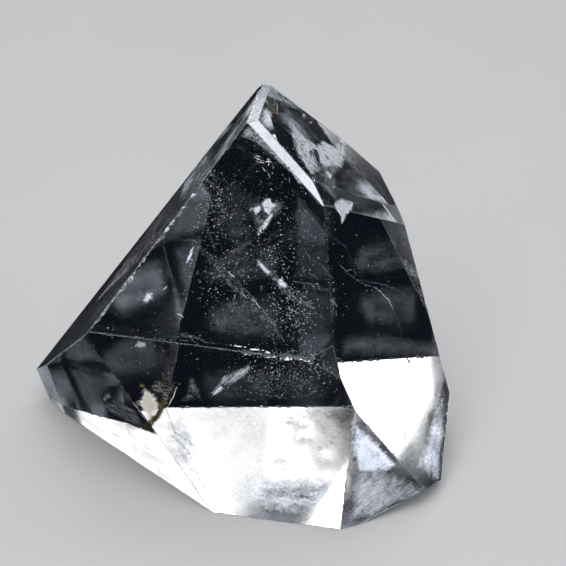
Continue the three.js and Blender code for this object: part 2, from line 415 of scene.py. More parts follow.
class FilmKind(Enum):
    """What a thin film inside the stone looks like, as the stops of its colours. SHADE is painted shade: a
    near-black film that darkens the clear stone behind it.
    """

    FLAKE = ((0.36, (0.28, 0.34, 0.46)), (0.46, (0.70, 0.76, 0.86)), (0.58, (0.98, 0.99, 1.0)))
    VEIL = ((0.40, (0.52, 0.58, 0.70)), (0.60, (0.86, 0.89, 0.94)))
    BLUE_FLAKE = ((0.38, (0.24, 0.38, 0.85)), (0.56, (0.85, 0.92, 1.0)))
    CREAM = ((0.38, (0.38, 0.42, 0.50)), (0.46, (0.84, 0.80, 0.68)), (0.55, (1.0, 0.98, 0.93)))
    RUST = ((0.40, (0.07, 0.035, 0.008)), (0.49, (0.34, 0.21, 0.04)), (0.58, (0.80, 0.68, 0.34)))
    OLIVE = ((0.40, (0.13, 0.14, 0.10)), (0.49, (0.36, 0.38, 0.29)), (0.58, (0.76, 0.78, 0.68)))
    # painted shade: near-black stops for a film that darkens the stone where it shows dark
    SHADE = ((0.40, (0.02, 0.02, 0.03)), (0.60, (0.10, 0.11, 0.14)))


@dataclass(frozen=True)
class FilmFinish:
    """A film that lies in patches and fades towards its ragged rim.

    along and across are how many lumps its pattern has in a millimetre, so a small along and a large across
    give fibres that run along it. Where the pattern is under low it is clear, and over high it is whole.
    ragged is how uneven its rim is.
    """

    kind: FilmKind
    cover: float
    along: float = 1.0
    across: float = 1.0
    low: float = 0.42
    high: float = 0.62
    glow: float = 0.15
    ragged: float = 1.0

    def material(self, name: str, seed: float) -> bpy.types.Material:
        """Builds the material. Its glow stands for the light that the stone gathers on the film.

        Args:
            name: the material's name.
            seed: another seed gives another pattern.

        Returns:
            A material that reads the film's UV map, in millimetres, and its rim number.
        """
        s = Shader(name)
        uv = s.node("ShaderNodeTexCoord", {}, {}, "UV")
        drawn = s.node("ShaderNodeMapping", {}, {"Vector": uv, "Scale": (self.along, self.across, 1)})
        lumps = s.cloud(drawn, 1.0, 7, 0.70, seed)
        grain = s.cloud(s.millimetres(), 5.0, 4, 0.7, seed + 7)
        patches = s.step(lumps * 0.65 + grain * 0.35, self.low, self.high)
        ragged = (s.cloud(uv, 2.2, 6, 0.75, seed + 4) - 0.5) * (2.2 * self.ragged)
        rim = s.step(s.attribute("rim") + ragged, 0.25, 1.25)
        tone = s.node("ShaderNodeValToRGB", {"stops": self.kind.value}, {"Fac": grain * 0.55 + lumps * 0.45})
        inputs = {
            "Base Color": tone,
            "Roughness": 0.6,
            "Alpha": (rim * patches * self.cover).at_most(1.0),
            "Normal": s.bump(grain, 0.04),
            "Emission Color": tone,
            "Emission Strength": self.glow,
        }
        return s.surface(s.node("ShaderNodeBsdfPrincipled", {}, inputs))


@dataclass(frozen=True)
class SpeckFinish:
    """Tiny bubbles and grains, which show as pale points. glow stands for the light they catch."""

    glow: float = 0.9

    def material(self) -> bpy.types.Material:
        """Builds the material.

        Returns:
            A pale material that varies a little from speck to speck.
        """
        s = Shader("pale_specks")
        shade = s.cloud(s.millimetres(), 0.9, 2, 0.5, 6.0)
        colour = s.blend_colours(shade, (0.75, 0.82, 0.92, 1), (0.98, 0.98, 0.98, 1))
        glint = s.step(s.cloud(s.millimetres(), 2.5, 1, 0.5, 9.0), 0.35, 0.70, 0.05, 1.0)
        inputs = {
            "Base Color": colour,
            "Roughness": 0.35,
            "Emission Color": s.blend_colours(glint, (0.04, 0.05, 0.06, 1), colour),
            "Emission Strength": self.glow,
        }
        return s.surface(s.node("ShaderNodeBsdfPrincipled", {}, inputs))


@dataclass(frozen=True)
class FloorFinish:
    """The pale studio floor: matt, with a faint unevenness."""

    def material(self) -> bpy.types.Material:
        """Builds the material.

        Returns:
            A matt pale grey.
        """
        s = Shader("pale_floor")
        mist = s.cloud(s.millimetres(), 0.02, 4, 0.5, 1.0)
        colour = s.blend_colours(mist, (0.50, 0.505, 0.51, 1), (0.54, 0.545, 0.55, 1))
        inputs = {"Base Color": colour, "Roughness": 0.85, "Specular IOR Level": 0.2}
        return s.surface(s.node("ShaderNodeBsdfPrincipled", {}, inputs))


def finish_piece(bm: bmesh.types.BMesh, name: str, material: bpy.types.Material) -> bpy.types.Object:
    """Makes an object of a mesh that is in millimetres.

    Args:
        bm: the mesh, which is freed.
        name: the piece's name.
        material: what it is made of.

    Returns:
        The object, in metres, at the origin.
    """
    bmesh.ops.transform(bm, matrix=Matrix.Scale(MM, 4), verts=bm.verts)
    mesh = bpy.data.meshes.new(name)
    bm.to_mesh(mesh)
    bm.free()
    mesh.materials.append(material)
    piece = bpy.data.objects.new(name, mesh)
    bpy.context.scene.collection.objects.link(piece)
    return piece


def mount_piece(piece: bpy.types.Object) -> None:
    """Has a finished piece ride with the stone, and reports it."""
    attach(piece, BODY)
    log.info("%s: %d faces", piece.name, len(piece.data.polygons))


@dataclass(frozen=True)
class ChipRun:
    """Chips along one ridge. start and end are the chipped stretch, as shares of the ridge."""

    first: Side
    second: Side
    start: float
    end: float
    count: int
    length: float
    bite: float


@dataclass(frozen=True)
class FacetLook:
    """How one face is finished: how frosted, streaked and hazy it is, and whether it is the sawn base."""

    frost: float = 0.0
    streak: float = 0.0
    haze: float = 0.0
    cut: float = 0.0


@dataclass
class Stone:
    """The crystal: one closed solid with flat faces and worn, chipped ridges."""

    finish: ClearQuartz = field(default_factory=ClearQuartz)
    block: float = 160.0
    worn_width: float = 0.05
    worn_frost: float = 0.16
    chip_frost: float = 0.15
    plane_slack: float = 0.012
    same_way: float = 0.9999
    chip_scale: tuple = (0.45, 1.35)
    chip_depth: tuple = (0.7, 1.1)
    chip_lean: float = 0.45
    chip_height: tuple = (2.2, 3.4)
    chip_breadth: tuple = (0.32, 0.5)
    chip_room: float = 1.15
    chip_lumps: float = 1.6
    chip_swell: float = 0.25
    seed: int = 4
    chip_runs: tuple = (
        ChipRun(Side.FRONT_SLOPE, Side.LEFT_SLOPE, 0.02, 0.72, 34, 1.3, 0.26),
        ChipRun(Side.FRONT_SLOPE, Side.LEFT_SLOPE, 0.01, 0.99, 90, 0.38, 0.08),
        ChipRun(Side.FRONT_SLOPE, Side.LOW_FRONT, 0.0, 0.30, 9, 1.2, 0.16),
        ChipRun(Side.FRONT_SLOPE, Side.LOW_FRONT, 0.0, 1.0, 90, 0.30, 0.055),
        ChipRun(Side.FRONT_SLOPE, Side.RIGHT_SLOPE, 0.05, 0.95, 6, 0.5, 0.035),
        ChipRun(Side.LOWER_LEFT, Side.LEFT_SLOPE, 0.0, 1.0, 9, 0.9, 0.16),
        ChipRun(Side.LOWER_LEFT, Side.LEFT_SLOPE, 0.0, 1.0, 22, 0.4, 0.08),
        ChipRun(Side.LOWER_RIGHT, Side.RIGHT_SLOPE, 0.1, 0.9, 10, 0.6, 0.09),
        ChipRun(Side.LOW_FRONT, Side.LOWER_RIGHT, 0.1, 0.9, 9, 0.5, 0.07),
        ChipRun(Side.LOW_FRONT, Side.LOWER_LEFT, 0.05, 0.95, 12, 0.5, 0.08),
        ChipRun(Side.GROUND_STRIP, Side.FRONT_SLOPE, 0.02, 0.98, 22, 0.45, 0.07),
        ChipRun(Side.GROUND_STRIP, Side.UPPER_RIGHT, 0.02, 0.98, 14, 0.45, 0.06),
        ChipRun(Side.RIGHT_SLOPE, Side.RIGHT_FOOT, 0.1, 0.9, 5, 1.1, 0.2),
        ChipRun(Side.BASE_CUT, Side.LOW_FRONT, 0.03, 0.97, 20, 0.8, 0.13),
        ChipRun(Side.BASE_CUT, Side.LOWER_LEFT, 0.03, 0.97, 26, 0.8, 0.14),
        ChipRun(Side.BASE_CUT, Side.BROKEN_FOOT, 0.05, 0.95, 8, 1.2, 0.22),
        ChipRun(Side.BASE_CUT, Side.BACK, 0.03, 0.97, 30, 0.9, 0.16),
        ChipRun(Side.BASE_CUT, Side.BACK_LEFT, 0.05, 0.95, 12, 0.9, 0.16),
        ChipRun(Side.BASE_CUT, Side.BACK_RIGHT, 0.05, 0.95, 10, 0.9, 0.16),
        ChipRun(Side.LEFT_SLOPE, Side.BACK, 0.02, 0.98, 14, 0.8, 0.11),
        ChipRun(Side.LEFT_SLOPE, Side.BACK_LEFT, 0.02, 0.98, 24, 0.8, 0.12),
        ChipRun(Side.BACK_RIGHT, Side.RIGHT_SLOPE, 0.05, 0.95, 12, 0.7, 0.08),
        ChipRun(Side.BACK_UPPER_RIGHT, Side.BACK_RIGHT, 0.05, 0.95, 14, 0.8, 0.11),
    )
    quiet_ridges: tuple = (
        frozenset((Side.BACK, Side.BACK_LEFT)),
        frozenset((Side.BACK, Side.BACK_UPPER_RIGHT)),
        frozenset((Side.LOW_FRONT, Side.LOWER_LEFT)),
        frozenset((Side.FRONT_SLOPE, Side.RIGHT_SLOPE)),
    )
    looks: dict = field(
        default_factory=lambda: {
            Side.BASE_CUT: FacetLook(cut=1.0),
            Side.GROUND_STRIP: FacetLook(frost=0.93),
            Side.TIP_FACET: FacetLook(frost=0.24, haze=0.16),
            Side.CREST_BAND: FacetLook(frost=0.03, haze=0.08),
            Side.HAZY_BAND: FacetLook(frost=0.010, haze=0.04),
            Side.UPPER_RIGHT: FacetLook(frost=0.005, haze=0.02),
            Side.LEFT_SLOPE: FacetLook(frost=0.006, streak=0.09, haze=0.04),
            Side.LEFT_CORNER: FacetLook(frost=0.20, haze=0.2),
            Side.BACK: FacetLook(frost=0.004),
            Side.BACK_LEFT: FacetLook(frost=0.002),
            Side.BACK_RIGHT: FacetLook(frost=0.01),
            Side.BROKEN_FOOT: FacetLook(frost=0.30),
        }
    )

    def build(self) -> bpy.types.Object:
        """Cuts, wears and chips the stone.

        Returns:
            The finished piece, standing for the plain solid.
        """
        bm = self._cut_block()
        ridges = self._ridges(bm)
        self._wear(bm)
        piece = finish_piece(bm, "quartz_point", self.finish.material())
        self._chip(piece, ridges)
        self._mark_faces(piece)
        mount_piece(piece)
        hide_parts(NODE)
        return piece

    def _cut_block(self) -> bmesh.types.BMesh:
        """Cuts a block by the plane of each face in turn.

        Returns:
            The plain solid, with a face layer that holds each face's number.
        """
        bm = bmesh.new()
        bmesh.ops.create_cube(bm, size=self.block, matrix=Matrix.Translation(HEART))
        layer = bm.faces.layers.int.new("side")
        for number, side in enumerate(Side):
            everything = [*bm.verts, *bm.edges, *bm.faces]
            cut = bmesh.ops.bisect_plane(
                bm,
                geom=everything,
                dist=1e-5,
                plane_co=side.value.point,
                plane_no=side.value.outward,
                clear_outer=True,
            )
            rim = [part for part in cut["geom_cut"] if isinstance(part, bmesh.types.BMEdge)]
            for face in bmesh.ops.edgeloop_fill(bm, edges=rim)["faces"]:
                face[layer] = number
        bmesh.ops.recalc_face_normals(bm, faces=bm.faces)
        return bm

    @staticmethod
    def _ridges(bm: bmesh.types.BMesh) -> dict:
        """The two ends of each ridge, by the pair of faces that meet there."""
        layer = bm.faces.layers.int["side"]
        sides = list(Side)
        ends = {}
        for edge in bm.edges:
            pair = frozenset(sides[face[layer]] for face in edge.link_faces)
            ends[pair] = tuple(vert.co.copy() for vert in edge.verts)
        return ends

    def _wear(self, bm: bmesh.types.BMesh) -> None:
        """Rounds every ridge a little."""
        bmesh.ops.bevel(
            bm,
            geom=list(bm.edges),
            offset=self.worn_width,
            offset_type="OFFSET",
            segments=2,
            profile=0.5,
            affect="EDGES",
            clamp_overlap=True,
            material=-1,
        )

    def _chip(self, piece: bpy.types.Object, ridges: dict) -> None:
        """Takes the chips out of the ridges, in rounds of chips that don't touch each other.

        Args:
            piece: the stone.
            ridges: the ends of each ridge.
        """
        rng = Random(self.seed)
        rounds: list[tuple[bmesh.types.BMesh, list]] = []
        for run in self.chip_runs:
            ends = ridges[frozenset((run.first, run.second))]
            if ends[0].z > ends[1].z:
                ends = (ends[1], ends[0])
            for index in range(run.count):
                share = run.start + (run.end - run.start) * (index + rng.uniform(0.1, 0.9)) / run.count
                self._add_chip(rounds, run, ends[0].lerp(ends[1], share), ends[1] - ends[0], rng)
        chip_look = bpy.data.materials.new("chip_marker")
        piece.data.materials.append(chip_look)
        for bm, _ in rounds:
            bmesh.ops.transform(bm, matrix=Matrix.Scale(MM, 4), verts=bm.verts)
            mesh = bpy.data.meshes.new("chips")
            bm.to_mesh(mesh)
            bm.free()
            mesh.materials.append(piece.data.materials[0])
            mesh.materials.append(chip_look)
            mesh.polygons.foreach_set("material_index", [1] * len(mesh.polygons))
            tool = bpy.data.objects.new("chips", mesh)
            bpy.context.scene.collection.objects.link(tool)
            self._subtract(piece, tool)
            bpy.data.objects.remove(tool)
        log.info("chips taken in %d rounds", len(rounds))

    @staticmethod
    def _subtract(piece: bpy.types.Object, tool: bpy.types.Object) -> None:
        """Cuts one object out of another and keeps the result as the first one's mesh."""
        cutter = piece.modifiers.new("cut", "BOOLEAN")
        cutter.operation = "DIFFERENCE"
        cutter.solver = "MANIFOLD"
        cutter.object = tool
        bpy.context.view_layer.update()
        graph = bpy.context.evaluated_depsgraph_get()
        made = bpy.data.meshes.new_from_object(piece.evaluated_get(graph))
        piece.modifiers.clear()
        old = piece.data
        piece.data = made
        bpy.data.meshes.remove(old)

    def _add_chip(self, rounds: list, run: ChipRun, place: Vector, ridge: Vector, rng: Random) -> None:
        """Adds one scoop to the first round in which it touches no other.

        Args:
            rounds: the rounds so far, each a mesh and the balls that its scoops fill.
            run: the chips that it belongs to.
            place: where it is on the ridge.
            ridge: along the ridge.
            rng: where its sizes come from.
        """
        along = ridge.normalized()
        out = (run.first.value.outward + run.second.value.outward).normalized()
        out = (out - along * out.dot(along)).normalized()
        across = out.cross(along)
        scale = rng.uniform(*self.chip_scale)
        length, bite = run.length * scale, run.bite * scale * rng.uniform(*self.chip_depth)
        inward = (out + across * rng.uniform(-self.chip_lean, self.chip_lean)).normalized()
        side = inward.cross(along).normalized()
        height = bite * rng.uniform(*self.chip_height)
        centre = place + inward * (height - bite)
        sizes = (length / 2, length * rng.uniform(*self.chip_breadth), height)
        radius = max(sizes) * self.chip_room
        for bm, balls in rounds:
            if all((centre - other).length > radius + reach for other, reach in balls):
                break
        else:
            bm, balls = bmesh.new(), []
            rounds.append((bm, balls))
        balls.append((centre, radius))
        turn = Matrix((along, side, inward)).transposed().to_4x4()
        fit = Matrix.Translation(centre) @ turn @ Matrix.Diagonal((*sizes, 1))
        made = bmesh.ops.create_icosphere(bm, subdivisions=2, radius=1, matrix=fit)
        offset = rng.uniform(0, 100)
        for vert in made["verts"]:
            swell = noise.noise((vert.co - centre) * (self.chip_lumps / length) + Vector((offset, 0, 0)))
            vert.co += (vert.co - centre) * swell * self.chip_swell

    def _mark_faces(self, piece: bpy.types.Object) -> None:
        """Writes onto every face how frosted, streaked and hazy it is, and whether it is sawn.

        Args:
            piece: the stone, with its chips' faces in the second slot.
        """
        mesh = piece.data
        names = ("frost", "streak", "haze", "cut")
        for name in names:
            mesh.attributes.new(name, "FLOAT", "FACE")
        looks = {name: mesh.attributes[name].data for name in names}
        sides = [(side.value, self.looks.get(side, FacetLook())) for side in Side]
        for polygon in mesh.polygons:
            centre, normal = polygon.center / MM, polygon.normal
            look = FacetLook(frost=self._ridge_frost(centre))
            for facet, facet_look in sides:
                if normal.dot(facet.outward) > self.same_way and abs(facet.above(centre)) < self.plane_slack:
                    look = facet_look
            if polygon.material_index == 1:
                look = FacetLook(frost=self.chip_frost)
            for name, values in looks.items():
                values[polygon.index].value = getattr(look, name)
            polygon.material_index = 0
        mesh.materials.pop(index=1)

    def _ridge_frost(self, place: Vector) -> float:
        """How frosted the worn ridge at a place is: a ridge in quiet_ridges stays clear."""
        nearest = sorted(Side, key=lambda side: abs(side.value.above(place)))[:2]
        return 0.0 if frozenset(nearest) in self.quiet_ridges else self.worn_frost


def keep_inside(vert: bmesh.types.BMVert, margin: float = 0.06) -> None:
    """Pushes a point of a piece back under any face that it would pass."""
    for side in Side:
        over = side.value.above(vert.co) + margin
        if over > 0:
            vert.co -= side.value.outward * over


@dataclass(frozen=True)
class Outline:
    """A closed outline in a plane, in millimetres."""

    corners: tuple

    def _sides(self) -> list:
        """Its sides, as pairs of corners."""
        return list(zip(self.corners, self.corners[1:] + self.corners[:1]))

    def holds(self, place: Vector) -> bool:
        """True if a place is inside."""
        inside = False
        for first, second in self._sides():
            if (first.y > place.y) != (second.y > place.y):
                share = (place.y - first.y) / (second.y - first.y)
                if place.x < first.x + share * (second.x - first.x):
                    inside = not inside
        return inside

    def gap(self, place: Vector) -> float:
        """How far a place is from the nearest side."""
        gaps = []
        for first, second in self._sides():
            run = second - first
            share = max(0.0, min(1.0, (place - first).dot(run) / run.length_squared))
            gaps.append((first + run * share - place).length)
        return min(gaps)


@dataclass(frozen=True)
class Film:
    """A thin, crumpled film inside the stone: a flake, a veil of a healed crack, or a stain.

    marks are pixels of the photograph round its rim, the first at the end of its length. It lies near
    millimetres behind the stone's face at that end and far at the other. rim is how wide its faded edge is.
    """

    name: str
    marks: tuple
    near: float
    far: float
    finish: FilmFinish
    rim: float = 0.35
    unevenness: float = 0.15
    lumps_per_mm: float = 0.8
    step: float = 0.16
    thickness: float = 0.012

    def _places(self) -> list[Vector]:
        """The places round the rim."""
        first = Vector(self.marks[0])
        spans = [(Vector(mark) - first).length for mark in self.marks]
        depths = [self.near + (self.far - self.near) * span / max(spans) for span in spans]
        return [VIEW.inside(*mark, depth) for mark, depth in zip(self.marks, depths)]

    def build(self, seed: float) -> bpy.types.Object:
        """Spreads the film, crumples it and gives it a thickness.

        Args:
            seed: another seed gives another pattern.

        Returns:
            The finished piece.
        """
        places = self._places()
        middle = sum(places, Vector()) / len(places)
        normal = Vector()
        for first, second in zip(places, places[1:] + places[:1]):
            normal += (first - middle).cross(second - middle)
        normal.normalize()
        along = places[0] - middle
        along = (along - normal * along.dot(normal)).normalized()
        across = normal.cross(along)
        flat = [Vector(((place - middle).dot(along), (place - middle).dot(across))) for place in places]
        lifts = [(place - middle).dot(normal) for place in places]
        bm = bmesh.new()
        self._spread(bm, flat, lifts)
        fit = Matrix.Translation(middle) @ Matrix((along, across, normal)).transposed().to_4x4()
        bmesh.ops.transform(bm, matrix=fit, verts=bm.verts)
        for vert in bm.verts:
            lift = noise.fractal(vert.co * self.lumps_per_mm + Vector((seed, 0, 0)), 1.0, 2.0, 4)
            vert.co += normal * lift * self.unevenness
            keep_inside(vert)
        bmesh.ops.solidify(bm, geom=list(bm.faces), thickness=self.thickness)
        for face in bm.faces:
            face.smooth = True
        piece = finish_piece(bm, self.name, self.finish.material(f"{self.name}_film", seed))
        mount_piece(piece)
        return piece

    def _spread(self, bm: bmesh.types.BMesh, flat: list[Vector], lifts: list[float]) -> None:
        """Fills the outline with small squares, each corner lifted as the rim's nearest places are.

        Args:
            bm: the empty mesh.
            flat: the rim's places in the film's plane.
            lifts: how far each of them lies off the plane.
        """
        outline = Outline(tuple(flat))
        low = Vector((min(corner.x for corner in flat), min(corner.y for corner in flat)))
        high = Vector((max(corner.x for corner in flat), max(corner.y for corner in flat)))
        size = high - low
        columns, rows = (max(2, math.ceil(span / self.step)) for span in size)
        bmesh.ops.create_grid(bm, x_segments=columns, y_segments=rows, size=0.5)
        fit = Matrix.Translation(((low + high) / 2).to_3d()) @ Matrix.Diagonal((size.x, size.y, 1, 1))
        bmesh.ops.transform(bm, matrix=fit, verts=bm.verts)
        outer = [face for face in bm.faces if not outline.holds(face.calc_center_median())]
        bmesh.ops.delete(bm, geom=outer, context="FACES")
        uv_layer = bm.loops.layers.uv.new("UVMap")
        rim_layer = bm.verts.layers.float.new("rim")
        for vert in bm.verts:
            spot = vert.co.xy
            vert[rim_layer] = min(2.0, outline.gap(spot) / self.rim) if outline.holds(spot) else 0.0
            for loop in vert.link_loops:
                loop[uv_layer].uv = spot
            weights = [1 / ((spot - corner).length_squared + 0.01) for corner in flat]
            vert.co.z = sum(weight * lift for weight, lift in zip(weights, lifts)) / sum(weights)


FLAKE = FilmKind.FLAKE
VEIL = FilmKind.VEIL


